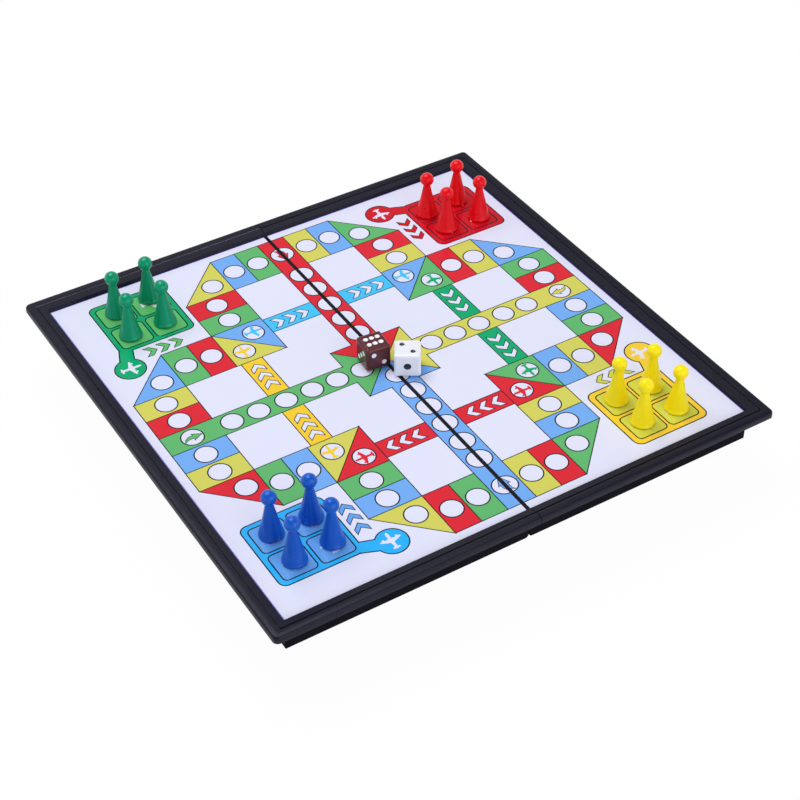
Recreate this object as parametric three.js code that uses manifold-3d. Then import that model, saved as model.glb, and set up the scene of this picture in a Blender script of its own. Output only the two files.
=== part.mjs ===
// Folding ludo board that shuts into a flat box: two moulded half cases hinged along the
// middle, a printed steel sheet set into each, sixteen magnetic pawns and two dice.
// Millimetres. X runs across the fold, Y along it, +Z up. The origin lies under the
// middle of the open board, on the surface that the board stands on.

import * as THREE from 'three';
import { mergeVertices } from 'three/addons/utils/BufferGeometryUtils.js';
import { RoundedBoxGeometry } from 'three/addons/geometries/RoundedBoxGeometry.js';
import Module from 'manifold-3d';

const wasm = await Module();
wasm.setup();

// Open board
const boardWidth = 250.0;
const boardLength = 248.8;
const caseDepth = 15.2;         // playing surface down to the closing edge
const foldGap = 0.3;            // between the two halves, open or shut
const overrun = 1;              // how far a cutting shape runs past what it cuts

// Rim around the playing surface
const rimWidth = 9.0;
const rimCrown = 2.75;          // highest line of the rim above the playing surface
const cornerRadius = 2.5;
const bevelWidth = 0.65;        // slope beside the printed sheet
const bevelFoot = 0.15;
const bandHeight = 1.6;         // inner band above the playing surface, at its low edge
const bandWidth = 3.55;
const bandRise = 0.75;
const grooveWidth = 0.6;
const grooveDepth = 0.5;
const crownFall = 0.35;         // from the crown's highest line to its outer edge
const shoulderWidth = 1.2;      // round between the crown and the outer wall
const shoulderDrop = 1.5;
const flangeDrop = 0.5;         // lower edge of the rim below the playing surface
const flangeWall = 1.6;
const flangeSkin = 2.3;         // from the crown down to the roof of the channel under it
const filletWidth = 1.0;        // where the channel meets the tray wall
const filletDrop = 1.5;

// Tray under the playing surface
const skirtInset = 8.3;         // outer face of the tray wall, in from the edge of the rim
const wallThickness = 1.9;
const panelThickness = 1.8;
const spineThickness = 1.8;
const seamLip = 0.45;           // black edge beside the fold that is seen from above
const seamCornerRadius = 1.6;
const ribCount = 4;
const ribThickness = 1.2;
const ribHeight = 1.0;

// Printed sheets
const sheetThickness = 0.5;
const sheetClearance = 0.15;

// Hinges
const hingeSpread = 78;         // from the middle of the board to the middle of a hinge
const hingeLength = 30;
const knucklesPerHinge = 5;
const knuckleRadius = 1.8;
const pinRadius = 0.75;
const pinClearance = 0.2;
const knuckleClearance = 0.3;
const pinChamfer = 0.25;

// Closing magnets and their posts
const magnetRadius = 3.0;
const magnetThickness = 2.0;
const magnetClearance = 0.15;
const postWall = 1.1;
const postBite = 0.6;           // how far a post sinks into the tray walls

// Locating tabs, which the open board also stands on
const tabLength = 16;
const tabThickness = 1.6;
const tabClearance = 0.3;
const tabRoot = 5;
const tabLead = 0.4;
const tabSpreadRight = 32;
const tabSpreadLeft = 62;

// Pawns
const pawnHeight = 24.0;
const pawnFootRadius = 5.5;
const pawnFootHeight = 1.1;
const pawnFootRound = 0.5;
const pawnNeckRadius = 1.7;
const pawnHeadRadius = 3.4;
const pawnWaist = 0.35;         // how far the cone draws in from a straight line
const pawnMagnetRadius = 3.2;
const pawnMagnetThickness = 1.5;
const standClearance = 0.2;     // between a standing piece and the sheet
const pawnFacets = 16;

// Dice
const dieEdge = 12.2;
const dieRound = 1.4;
const pipRadius = 1.2;
const acePipRadius = 1.8;
const pipDepth = 0.35;
const pipSpread = 2.9;          // from the middle of a face to its outer pips

// Heights and places worked out from these
const axisZ = knuckleRadius;
const closingZ = axisZ + foldGap / 2;
const surfaceZ = closingZ + caseDepth;
const recessZ = surfaceZ - sheetThickness - sheetClearance;
const panelZ = recessZ - panelThickness;
const halfWidth = boardWidth / 2;
const halfLength = boardLength / 2;
const openingX = halfWidth - rimWidth;
const openingY = halfLength - rimWidth;
const skirtX = halfWidth - skirtInset;
const skirtY = halfLength - skirtInset;
const innerX = skirtX - wallThickness;
const innerY = skirtY - wallThickness;
const seamX = foldGap / 2;
const postRadius = magnetRadius + magnetClearance + postWall;

const black = { color: 0x23222b, roughness: 0.42, metalness: 0 };
const steel = { color: 0xb9bcc2, roughness: 0.3, metalness: 1 };
const printed = { color: 0xdfe2f7, roughness: 0.18, metalness: 0 };
const pawnColours = { green: 0x0f9763, red: 0xd2141f, blue: 0x2148b4, yellow: 0xf2d717 };

// Where the pawns stand, from the middle of the board, as shares of half its width and length
const pawnPlaceShares = {
  green: [[-0.714, 0.787], [-0.568, 0.806], [-0.725, 0.636], [-0.581, 0.640]],
  red: [[0.632, 0.714], [0.784, 0.729], [0.643, 0.585], [0.797, 0.582]],
  blue: [[-0.780, -0.569], [-0.631, -0.570], [-0.773, -0.714], [-0.627, -0.707]],
  yellow: [[0.582, -0.632], [0.729, -0.640], [0.588, -0.775], [0.735, -0.782]],
};

// Where the dice lie, from the middle of the board, as shares of a die's edge
const brownDiePlaceShares = { x: -0.385, y: 0.172 };
const brownDieTurn = -6;
const whiteDiePlaceShares = { x: 0.467, y: -0.866 };
const whiteDieTurn = -32.3;

// A closed mesh as a solid, and back
function solid(geometry) {
  const bare = geometry.clone();
  bare.deleteAttribute('normal');
  bare.deleteAttribute('uv');
  const merged = mergeVertices(bare, 1e-5);
  return new wasm.Manifold(new wasm.Mesh({
    numProp: 3,
    vertProperties: Float32Array.from(merged.attributes.position.array),
    triVerts: Uint32Array.from(merged.index.array),
  }));
}

function surface(body) {
  const mesh = body.getMesh();
  const geometry = new THREE.BufferGeometry();
  geometry.setAttribute('position', new THREE.BufferAttribute(mesh.vertProperties, 3));
  geometry.setIndex(new THREE.BufferAttribute(mesh.triVerts, 1));
  geometry.computeVertexNormals();
  return geometry;
}

// A box between two opposite corners
function block([x0, y0, z0], [x1, y1, z1]) {
  const box = new THREE.BoxGeometry(Math.abs(x1 - x0), Math.abs(y1 - y0), Math.abs(z1 - z0));
  return box.translate((x0 + x1) / 2, (y0 + y1) / 2, (z0 + z1) / 2);
}

// A cylinder along Y
function barrel(radius, length, y, facets = 24) {
  return new THREE.CylinderGeometry(radius, radius, length, facets).translate(0, y, axisZ);
}

// A profile of (outward, height) points carried round a rectangle with mitred corners
function mitredFrame(profile, reachX, reachY, baseZ) {
  const corners = [[1, 1], [-1, 1], [-1, -1], [1, -1]];
  const positions = [];
  for (const [sx, sy] of corners) {
    for (const point of profile) {
      positions.push(sx * (reachX + point.x), sy * (reachY + point.x), baseZ + point.y);
    }
  }
  const count = profile.length;
  const index = [];
  for (let side = 0; side < corners.length; side += 1) {
    const next = (side + 1) % corners.length;
    for (let i = 0; i < count; i += 1) {
      const j = (i + 1) % count;
      const [a, b] = [side * count + i, side * count + j];
      const [c, d] = [next * count + j, next * count + i];
      index.push(a, c, b, a, d, c);
    }
  }
  const geometry = new THREE.BufferGeometry();
  geometry.setAttribute('position', new THREE.Float32BufferAttribute(positions, 3));
  geometry.setIndex(index);
  return geometry;
}

// Section of the rim, heights taken from the playing surface
function rimSection() {
  const skirtFace = rimWidth - skirtInset;
  const bandEnd = bevelWidth + bandWidth;
  const grooveEnd = bandEnd + grooveWidth;
  const bandTop = bandHeight + bandRise;
  const crownEdge = rimCrown - crownFall;
  const channelRoof = rimCrown - flangeSkin;
  const section = new THREE.Shape();
  section.moveTo(0, panelZ - surfaceZ);
  section.lineTo(skirtFace, panelZ - surfaceZ);
  section.lineTo(skirtFace, channelRoof - filletDrop);
  section.lineTo(skirtFace + filletWidth, channelRoof);
  section.lineTo(rimWidth - flangeWall, channelRoof);
  section.lineTo(rimWidth - flangeWall, -flangeDrop);
  section.lineTo(rimWidth, -flangeDrop);
  section.lineTo(rimWidth, crownEdge);
  section.quadraticCurveTo((rimWidth + grooveEnd) / 2, rimCrown * 2 - (crownEdge + bandTop) / 2,
    grooveEnd, bandTop);
  section.lineTo(grooveEnd, bandTop - grooveDepth);
  section.lineTo(bandEnd, bandTop - grooveDepth);
  section.lineTo(bandEnd, bandTop);
  section.lineTo(bevelWidth, bandHeight);
  section.lineTo(0, bevelFoot);
  return section.extractPoints(4).shape;
}

// Outer form of the open case: rounded corners, and the rim's shoulder rounded all the way round
function caseBlank() {
  const [reachX, reachY, radius] = [halfWidth, halfLength, cornerRadius];
  const outline = new THREE.Shape();
  outline.moveTo(reachX, -reachY + radius);
  outline.absarc(reachX - radius, reachY - radius, radius, 0, Math.PI / 2, false);
  outline.absarc(-reachX + radius, reachY - radius, radius, Math.PI / 2, Math.PI, false);
  outline.absarc(-reachX + radius, -reachY + radius, radius, Math.PI, Math.PI * 1.5, false);
  outline.absarc(reachX - radius, -reachY + radius, radius, Math.PI * 1.5, Math.PI * 2, false);
  const blank = new THREE.ExtrudeGeometry(outline, {
    depth: surfaceZ + rimCrown - shoulderDrop,
    curveSegments: 4,
    bevelThickness: shoulderDrop,
    bevelSize: shoulderWidth,
    bevelOffset: -shoulderWidth,
    bevelSegments: 3,
  });
  return blank;
}

// Rectangular section of the tray wall
function skirtSection() {
  return [
    new THREE.Vector2(-wallThickness, 0),
    new THREE.Vector2(0, 0),
    new THREE.Vector2(0, panelZ - closingZ + panelThickness),
    new THREE.Vector2(-wallThickness, panelZ - closingZ + panelThickness),
  ];
}

// Post that holds a closing magnet, in a corner of the tray
function magnetPlace(side, end) {
  return [side * (innerX + postBite - postRadius), end * (innerY + postBite - postRadius)];
}

function magnetPost(side, end) {
  const [x, y] = magnetPlace(side, end);
  const height = panelZ + panelThickness / 2 - closingZ;
  const post = new THREE.CylinderGeometry(postRadius, postRadius, height, 24);
  return post.rotateX(Math.PI / 2).translate(x, y, closingZ + height / 2);
}

function magnetPocket(side, end) {
  const [x, y] = magnetPlace(side, end);
  const depth = magnetThickness + magnetClearance * 2;
  const pocket = new THREE.CylinderGeometry(magnetRadius + magnetClearance,
    magnetRadius + magnetClearance, depth + overrun, 24);
  return pocket.rotateX(Math.PI / 2).translate(x, y, closingZ + (depth - overrun) / 2);
}

// Tab inside the outer wall: it slips behind the other half's wall as the box shuts
function locatingTab(side, y) {
  const outer = innerX - tabClearance;
  const inner = innerX - tabThickness;
  const tab = new THREE.Shape();
  tab.moveTo(inner + tabLead, 0);
  tab.lineTo(outer - tabLead, 0);
  tab.lineTo(outer, tabLead);
  tab.lineTo(outer, closingZ);
  tab.lineTo(innerX + wallThickness / 2, closingZ + tabClearance);
  tab.lineTo(innerX + wallThickness / 2, closingZ + tabRoot);
  tab.lineTo(innerX, closingZ + tabRoot);
  tab.lineTo(inner, closingZ + tabRoot - tabThickness);
  tab.lineTo(inner, tabLead);
  const rib = new THREE.ExtrudeGeometry(tab, { depth: tabLength, bevelEnabled: false });
  rib.rotateX(Math.PI / 2).translate(0, tabLength / 2, 0);
  if (side < 0) rib.rotateZ(Math.PI);
  return rib.translate(0, y, 0);
}

// Stops the closing edges short of the fold with a small round
function seamCorner(side, end) {
  const corner = new THREE.Shape();
  const radius = seamCornerRadius;
  corner.moveTo(-overrun, -overrun);
  corner.lineTo(radius, -overrun);
  corner.lineTo(radius, 0);
  corner.absarc(radius, radius, radius, Math.PI * 1.5, Math.PI, true);
  corner.lineTo(-overrun, radius);
  const depth = wallThickness + overrun * 2;
  const cut = new THREE.ExtrudeGeometry(corner, { depth, bevelEnabled: false, curveSegments: 4 });
  cut.rotateX(Math.PI / 2).translate(0, depth / 2, 0);
  if (side < 0) cut.rotateZ(Math.PI);
  return cut.translate(side * seamX, end * (skirtY - wallThickness / 2), closingZ);
}

// Middle of each knuckle of both hinges that one half carries
function knuckleMiddles(owner) {
  const pitch = hingeLength / knucklesPerHinge;
  const middles = [];
  for (const end of [-1, 1]) {
    for (let i = 0; i < knucklesPerHinge; i += 1) {
      const isRight = i % 2 === 0;
      if (isRight === (owner > 0)) {
        middles.push(end * hingeSpread + (i - (knucklesPerHinge - 1) / 2) * pitch);
      }
    }
  }
  return middles;
}

// One half of the case. side is 1 for the right half and -1 for the left.
function caseHalf(side, tabSpread) {
  const pitch = hingeLength / knucklesPerHinge;
  const outsideX = side * (halfWidth + overrun);
  const keep = solid(block([side * seamX, -halfLength - overrun, -overrun],
    [outsideX, halfLength + overrun, surfaceZ + rimCrown * 2]));

  let body = solid(mitredFrame(rimSection(), openingX, openingY, surfaceZ));
  body = body.add(solid(mitredFrame(skirtSection(), skirtX, skirtY, closingZ)));
  body = body.add(solid(block([-skirtX, -skirtY, panelZ], [skirtX, skirtY, recessZ])));
  body = body.intersect(solid(caseBlank())).intersect(keep);

  body = body.add(solid(block([side * seamX, -skirtY, closingZ],
    [side * (seamX + spineThickness), skirtY, recessZ])));
  body = body.add(solid(block([side * seamX, -openingY, recessZ - panelThickness / 2],
    [side * (seamX + seamLip), openingY, surfaceZ])));

  for (let i = 1; i <= ribCount; i += 1) {
    const y = -innerY + (2 * innerY * i) / (ribCount + 1);
    body = body.add(solid(block(
      [side * (seamX + spineThickness / 2), y - ribThickness / 2, panelZ - ribHeight],
      [side * (innerX + wallThickness / 2), y + ribThickness / 2, panelZ + panelThickness / 2])));
  }
  for (const end of [-1, 1]) {
    body = body.add(solid(magnetPost(side, end))).subtract(solid(magnetPocket(side, end)));
    body = body.add(solid(locatingTab(side, end * tabSpread)));
    body = body.subtract(solid(seamCorner(side, end)));
  }

  for (const y of knuckleMiddles(-side)) {
    body = body.subtract(solid(barrel(knuckleRadius + knuckleClearance, pitch + knuckleClearance, y)));
  }
  for (const y of knuckleMiddles(side)) {
    body = body.add(solid(barrel(knuckleRadius, pitch - knuckleClearance, y)));
  }
  for (const end of [-1, 1]) {
    body = body.subtract(solid(barrel(pinRadius + pinClearance, hingeLength + overrun, end * hingeSpread)));
  }
  return surface(body);
}

function sheet(side) {
  const near = side * (seamX + seamLip + sheetClearance);
  const far = side * (openingX - sheetClearance);
  const reach = openingY - sheetClearance;
  return block([near, -reach, surfaceZ - sheetThickness], [far, reach, surfaceZ]);
}

// A round piece along Z from its (radius, height) outline
function turned(outline, facets) {
  return new THREE.LatheGeometry(outline, facets).rotateX(Math.PI / 2);
}

function disc(radius, thickness) {
  return turned([
    new THREE.Vector2(0, 0),
    new THREE.Vector2(radius, 0),
    new THREE.Vector2(radius, thickness),
    new THREE.Vector2(0, thickness),
  ], 16);
}

function hingePin() {
  const reach = hingeLength / 2;
  const outline = [
    new THREE.Vector2(0, -reach),
    new THREE.Vector2(pinRadius - pinChamfer, -reach),
    new THREE.Vector2(pinRadius, -reach + pinChamfer),
    new THREE.Vector2(pinRadius, reach - pinChamfer),
    new THREE.Vector2(pinRadius - pinChamfer, reach),
    new THREE.Vector2(0, reach),
  ];
  return new THREE.LatheGeometry(outline, 14);
}

// Pawn: a pocket for its magnet, a small foot, a drawn-in cone and a ball
function pawn() {
  const headZ = pawnHeight - pawnHeadRadius;
  const neckAngle = Math.asin(pawnNeckRadius / pawnHeadRadius);
  const neckZ = headZ - pawnHeadRadius * Math.cos(neckAngle);
  const pocketRadius = pawnMagnetRadius + magnetClearance;
  const pocketDepth = pawnMagnetThickness + magnetClearance * 2;
  const outline = new THREE.Path();
  outline.moveTo(0, pocketDepth);
  outline.lineTo(pocketRadius, pocketDepth);
  outline.lineTo(pocketRadius, 0);
  outline.lineTo(pawnFootRadius - pawnFootRound, 0);
  outline.lineTo(pawnFootRadius, pawnFootRound);
  outline.lineTo(pawnFootRadius, pawnFootHeight);
  outline.quadraticCurveTo((pawnFootRadius + pawnNeckRadius) / 2 - pawnWaist, (pawnFootHeight + neckZ) / 2,
    pawnNeckRadius, neckZ);
  outline.absarc(0, headZ, pawnHeadRadius, neckAngle - Math.PI / 2, Math.PI / 2, false);
  const points = outline.getPoints(3).filter((point, i, all) => i === 0 || point.distanceTo(all[i - 1]) > 1e-6);
  points[points.length - 1].x = 0;
  return turned(points, pawnFacets);
}

// Pips of one face, on a grid of -1, 0 and 1
const pipGrids = {
  1: [[0, 0]],
  2: [[-1, 1], [1, -1]],
  3: [[-1, -1], [0, 0], [1, 1]],
  4: [[-1, -1], [-1, 1], [1, -1], [1, 1]],
  5: [[-1, -1], [-1, 1], [0, 0], [1, -1], [1, 1]],
  6: [[-1, -1], [0, -1], [1, -1], [-1, 1], [0, 1], [1, 1]],
};

// Die standing on its foot at the origin. numbers lists the counts that face up, down,
// to the front, to the back, to the left and to the right.
function die(numbers) {
  const faces = [
    { out: [0, 0, 1], along: [1, 0, 0] },
    { out: [0, 0, -1], along: [1, 0, 0] },
    { out: [0, -1, 0], along: [1, 0, 0] },
    { out: [0, 1, 0], along: [-1, 0, 0] },
    { out: [-1, 0, 0], along: [0, -1, 0] },
    { out: [1, 0, 0], along: [0, 1, 0] },
  ];
  let body = solid(new RoundedBoxGeometry(dieEdge, dieEdge, dieEdge, 2, dieRound));
  faces.forEach((face, i) => {
    const out = new THREE.Vector3(...face.out);
    const along = new THREE.Vector3(...face.along);
    const across = new THREE.Vector3().crossVectors(out, along);
    const radius = numbers[i] === 1 ? acePipRadius : pipRadius;
    const ball = (radius * radius + pipDepth * pipDepth) / (2 * pipDepth);
    for (const [u, v] of pipGrids[numbers[i]]) {
      const centre = out.clone().multiplyScalar(dieEdge / 2 + ball - pipDepth)
        .addScaledVector(along, u * pipSpread).addScaledVector(across, v * pipSpread);
      const cap = pipCutter(ball, radius).applyQuaternion(
        new THREE.Quaternion().setFromUnitVectors(new THREE.Vector3(0, 1, 0), out));
      body = body.subtract(solid(cap.translate(centre.x, centre.y, centre.z)));
    }
  });
  return surface(body).translate(0, 0, dieEdge / 2);
}

// Lower cap of a ball, closed a little above the face that it dents
function pipCutter(ball, radius) {
  const edge = Math.asin(radius / ball);
  const outline = [new THREE.Vector2(0, -ball)];
  outline.push(new THREE.Vector2(ball * Math.sin(edge / 2), -ball * Math.cos(edge / 2)));
  outline.push(new THREE.Vector2(radius, -ball * Math.cos(edge)));
  outline.push(new THREE.Vector2(radius, -ball * Math.cos(edge) + pipDepth));
  outline.push(new THREE.Vector2(0, -ball * Math.cos(edge) + pipDepth));
  return new THREE.LatheGeometry(outline, 8);
}

const model = new THREE.Group();

function place(name, geometry, finish, x = 0, y = 0, z = 0, turn = 0) {
  const mesh = new THREE.Mesh(geometry, new THREE.MeshStandardMaterial({ ...finish, flatShading: true }));
  mesh.name = name;
  mesh.position.set(x, y, z);
  mesh.rotation.z = THREE.MathUtils.degToRad(turn);
  model.add(mesh);
}

place('case_right', caseHalf(1, tabSpreadRight), black);
place('case_left', caseHalf(-1, tabSpreadLeft), black);
place('sheet_right', sheet(1), printed);
place('sheet_left', sheet(-1), printed);
place('hinge_pin_front', hingePin(), steel, 0, -hingeSpread, axisZ);
place('hinge_pin_rear', hingePin(), steel, 0, hingeSpread, axisZ);

for (const [sideName, side] of [['right', 1], ['left', -1]]) {
  for (const [endName, end] of [['front', -1], ['rear', 1]]) {
    const [x, y] = magnetPlace(side, end);
    place(`magnet_${sideName}_${endName}`, disc(magnetRadius, magnetThickness), steel, x, y,
      closingZ + magnetClearance);
  }
}

const standZ = surfaceZ + standClearance;
for (const [colour, placeShares] of Object.entries(pawnPlaceShares)) {
  const finish = { color: pawnColours[colour], roughness: 0.2, metalness: 0 };
  placeShares.forEach(([shareX, shareY], i) => {
    const [x, y] = [shareX * halfWidth, shareY * halfLength];
    place(`pawn_${colour}_${i + 1}`, pawn(), finish, x, y, standZ);
    place(`pawn_magnet_${colour}_${i + 1}`, disc(pawnMagnetRadius, pawnMagnetThickness), steel, x, y,
      standZ + magnetClearance);
  });
}

place('die_brown', die([6, 1, 2, 5, 3, 4]), { color: 0x3d1c1c, roughness: 0.3, metalness: 0 },
  brownDiePlaceShares.x * dieEdge, brownDiePlaceShares.y * dieEdge, standZ, brownDieTurn);
place('die_white', die([2, 5, 1, 6, 3, 4]), { color: 0xf2f3f8, roughness: 0.3, metalness: 0 },
  whiteDiePlaceShares.x * dieEdge, whiteDiePlaceShares.y * dieEdge, standZ, whiteDieTurn);

export default model;
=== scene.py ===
# Folding ludo board with its pawns and dice: two hinged black trays, a printed playing
# surface on each, sixteen turned pawns and two dice. Metres, in the frame of the model.
import math

import bmesh
import bpy
from mathutils import Matrix, Vector
from mathutils.geometry import delaunay_2d_cdt


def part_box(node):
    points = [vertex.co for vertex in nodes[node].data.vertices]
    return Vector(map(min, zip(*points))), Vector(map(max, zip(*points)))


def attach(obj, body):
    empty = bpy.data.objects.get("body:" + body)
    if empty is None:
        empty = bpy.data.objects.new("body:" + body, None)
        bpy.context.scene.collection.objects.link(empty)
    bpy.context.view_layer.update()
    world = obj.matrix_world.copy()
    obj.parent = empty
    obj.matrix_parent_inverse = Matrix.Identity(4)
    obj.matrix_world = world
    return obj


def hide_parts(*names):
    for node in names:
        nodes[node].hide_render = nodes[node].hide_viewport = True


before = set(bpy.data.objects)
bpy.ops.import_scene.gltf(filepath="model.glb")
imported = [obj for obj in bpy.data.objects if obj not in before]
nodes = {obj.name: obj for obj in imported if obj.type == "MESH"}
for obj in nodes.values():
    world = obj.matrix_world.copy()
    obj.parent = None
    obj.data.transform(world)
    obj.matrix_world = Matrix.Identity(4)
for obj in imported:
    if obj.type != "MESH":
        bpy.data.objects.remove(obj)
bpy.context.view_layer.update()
scene = bpy.context.scene
mm = 0.001
print("Frame loaded with", len(nodes), "nodes")

# Camera, worked out from the printed track and the rim
camera = {
    "place": (-0.31745, -0.53686, 0.53128),
    "target": (-0.00866, -0.02718, 0.01715),
    "roll": -0.714,  # degrees
    "lens": 79.42,
    "sensor": 36,
}


def placeCamera(settings):
    lens = bpy.data.cameras.new("camera")
    lens.lens, lens.sensor_width = settings["lens"], settings["sensor"]
    seen = bpy.data.objects.new("camera", lens)
    scene.collection.objects.link(seen)
    place = Vector(settings["place"])
    ahead = Vector(settings["target"]) - place
    level = ahead.to_track_quat("-Z", "Y").to_matrix().to_4x4()
    roll = Matrix.Rotation(math.radians(settings["roll"]), 4, "Z")
    seen.matrix_world = Matrix.Translation(place) @ level @ roll
    scene.camera = seen


placeCamera(camera)
print("Camera placed")


# Materials
def screenColour(red, green, blue):
    # The shader's linear colour for one that a screen shows, 0 to 255
    shares = [value / 255 for value in (red, green, blue)]
    return [s / 12.92 if s <= 0.04045 else ((s + 0.055) / 1.055) ** 2.4 for s in shares] + [1]


def startMaterial(name, colour, sockets):
    # One plain colour, to which the finish is added
    material = bpy.data.materials.new(name)
    material.use_nodes = True
    tree = material.node_tree
    shader = tree.nodes["Principled BSDF"]
    shader.inputs["Base Color"].default_value = screenColour(*colour)
    for socket, value in sockets.items():
        shader.inputs[socket].default_value = value
    return material, tree, shader


def addNoise(tree, size, detail, squeeze=(1, 1, 1)):
    # Noise with features of about that size, squeezed along the axes with larger numbers
    place = tree.nodes.new("ShaderNodeTexCoord")
    mapping = tree.nodes.new("ShaderNodeMapping")
    mapping.inputs["Scale"].default_value = squeeze
    noise = tree.nodes.new("ShaderNodeTexNoise")
    noise.inputs["Scale"].default_value = 1 / size
    noise.inputs["Detail"].default_value = detail
    tree.links.new(place.outputs["Object"], mapping.inputs["Vector"])
    tree.links.new(mapping.outputs["Vector"], noise.inputs["Vector"])
    return noise.outputs["Fac"]


def addBump(tree, shader, layers, below=None):
    # The layers are (size, height, detail), the broadest first
    for size, height, detail in layers:
        bump = tree.nodes.new("ShaderNodeBump")
        bump.inputs["Distance"].default_value = height
        tree.links.new(addNoise(tree, size, detail), bump.inputs["Height"])
        if below is not None:
            tree.links.new(below, bump.inputs["Normal"])
        below = bump.outputs["Normal"]
    tree.links.new(below, shader.inputs["Normal"])


patches = {
    "noise": (0.3, 0.7),  # nearly all of the noise lies between these
    "detail": 4.0,
}


def addRoughness(tree, shader, size, low, high):
    # Wanders from low to high in patches of that size
    spread = tree.nodes.new("ShaderNodeMapRange")
    spread.inputs["From Min"].default_value = patches["noise"][0]
    spread.inputs["From Max"].default_value = patches["noise"][1]
    spread.inputs["To Min"].default_value = low
    spread.inputs["To Max"].default_value = high
    tree.links.new(addNoise(tree, size, patches["detail"]), spread.inputs["Value"])
    tree.links.new(spread.outputs["Result"], shader.inputs["Roughness"])


print("Mixing inks and plastics")

# Screen-printed inks under one glossy film
film = {
    "gloss": 0.42,
    "roughness": (0.10, 0.16),
    "patch": 6 * mm,
    "ripple": (7 * mm, 0.004 * mm, 1.0),  # size, height and detail, as in all that follow
    "grain": (0.35 * mm, 0.0008 * mm, 2.0),
}
inkColours = {
    "paper": (230, 232, 255),
    "line": (24, 24, 38),
    "border": (140, 134, 232),
    "red": (225, 40, 56),
    "green": (100, 187, 114),
    "blue": (118, 176, 249),
    "yellow": (216, 214, 97),
    "skyBlue": (72, 198, 254),
    "amber": (250, 209, 54),
    "deepGreen": (8, 173, 114),
    "homeRed": (212, 20, 39),
    "leaf": (98, 194, 111),
    "homeBlue": (43, 182, 255),
    "denim": (103, 167, 240),
    "lemon": (214, 216, 78),
    "cherry": (208, 14, 33),
}


def printInk(name, colour):
    material, tree, shader = startMaterial(f"ink_{name}", colour, {
        "Specular IOR Level": film["gloss"],
    })
    addRoughness(tree, shader, film["patch"], *film["roughness"])
    addBump(tree, shader, [film["ripple"], film["grain"]])
    return material


inks = {name: printInk(name, colour) for name, colour in inkColours.items()}

# Black plastic of the case, satin on the rim and matt on the tray below it. On the left half
# the outer wall of the rim's groove is painted a lighter, glossier grey: a painted highlight.
moulded = {
    "edge": 0.35 * mm,  # how wide an edge is shown rounded
    "tint": (0.76, 0.76, 1.0, 1.0),
    "rim": {"colour": (11, 10, 26), "gloss": 0.29, "roughness": (0.40, 0.50)},
    "tray": {"colour": (14, 13, 21), "gloss": 0.04, "roughness": (0.60, 0.75)},
    # Painted highlight: light grey for the groove's outer wall, standing in for a glint of light
    "paintedGlint": {"colour": (160, 158, 184), "gloss": 0.6, "roughness": (0.2, 0.3)},
    "grooveWall": (120.8 * mm, 120.2 * mm),  # how far out it stands in X and in Y
    "wallMargin": 0.08 * mm,  # faces within this of it belong to the wall
    "trayTop": 16.4 * mm,
    "weld": 0.001 * mm,
    "sharpAngle": 38,  # degrees
    "patch": 9 * mm,
    "waves": (3.5 * mm, 0.006 * mm, 1.0),
    "grain": (0.28 * mm, 0.006 * mm, 3.0),
}


def mouldedBlack(part):
    finish = moulded[part]
    material, tree, shader = startMaterial(f"{part}Black", finish["colour"], {
        "Specular IOR Level": finish["gloss"],
        "Specular Tint": moulded["tint"],
    })
    addRoughness(tree, shader, moulded["patch"], *finish["roughness"])
    edge = tree.nodes.new("ShaderNodeBevel")
    edge.inputs["Radius"].default_value = moulded["edge"]
    addBump(tree, shader, [moulded["waves"], moulded["grain"]], edge.outputs["Normal"])
    return material


# Glossy plastic of the pawns and dice
polished = {
    "gloss": 0.8,
    "leastTint": 0.25,  # share of white kept in its reflections, which lean to its colour
    "roughness": (0.27, 0.31),
    "patch": 4 * mm,
    "waves": (3.5 * mm, 0.0012 * mm, 0.0),
    "grain": (0.3 * mm, 0.0006 * mm, 2.0),
}


def pieceGloss(name, colour):
    white = polished["leastTint"]
    tint = [white + (1 - white) * part / max(colour) for part in colour]
    material, tree, shader = startMaterial(name, colour, {
        "Specular IOR Level": polished["gloss"],
        "Specular Tint": (*tint, 1.0),
    })
    addRoughness(tree, shader, polished["patch"], *polished["roughness"])
    addBump(tree, shader, [polished["waves"], polished["grain"]])
    return material


# Metal of sheets, pins and magnets
metal = {
    "patch": 1.5 * mm,
    "brushing": (0.5 * mm, 0.003 * mm, 3.0),
}


def brushedMetal(name, colour, roughness, squeeze):
    # The brushing runs across the axes that are squeezed
    material, tree, shader = startMaterial(name, colour, {"Metallic": 1.0})
    addRoughness(tree, shader, metal["patch"], *roughness)
    size, height, detail = metal["brushing"]
    bump = tree.nodes.new("ShaderNodeBump")
    bump.inputs["Distance"].default_value = height
    tree.links.new(addNoise(tree, size, detail, squeeze), bump.inputs["Height"])
    tree.links.new(bump.outputs["Normal"], shader.inputs["Normal"])
    return material


rimBlack, trayBlack = mouldedBlack("rim"), mouldedBlack("tray")
# The left half's groove wall takes the painted highlight, the right half's stays rim black
grooveWallPaint = {"right": rimBlack, "left": mouldedBlack("paintedGlint")}
tinplate = brushedMetal("tinplate", (188, 190, 196), (0.28, 0.40), (1, 8, 1))
pinSteel = brushedMetal("pinSteel", (176, 178, 184), (0.22, 0.34), (8, 1, 8))
magnetPlating = brushedMetal("magnetPlating", (168, 168, 172), (0.30, 0.45), (1, 1, 1))


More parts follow.
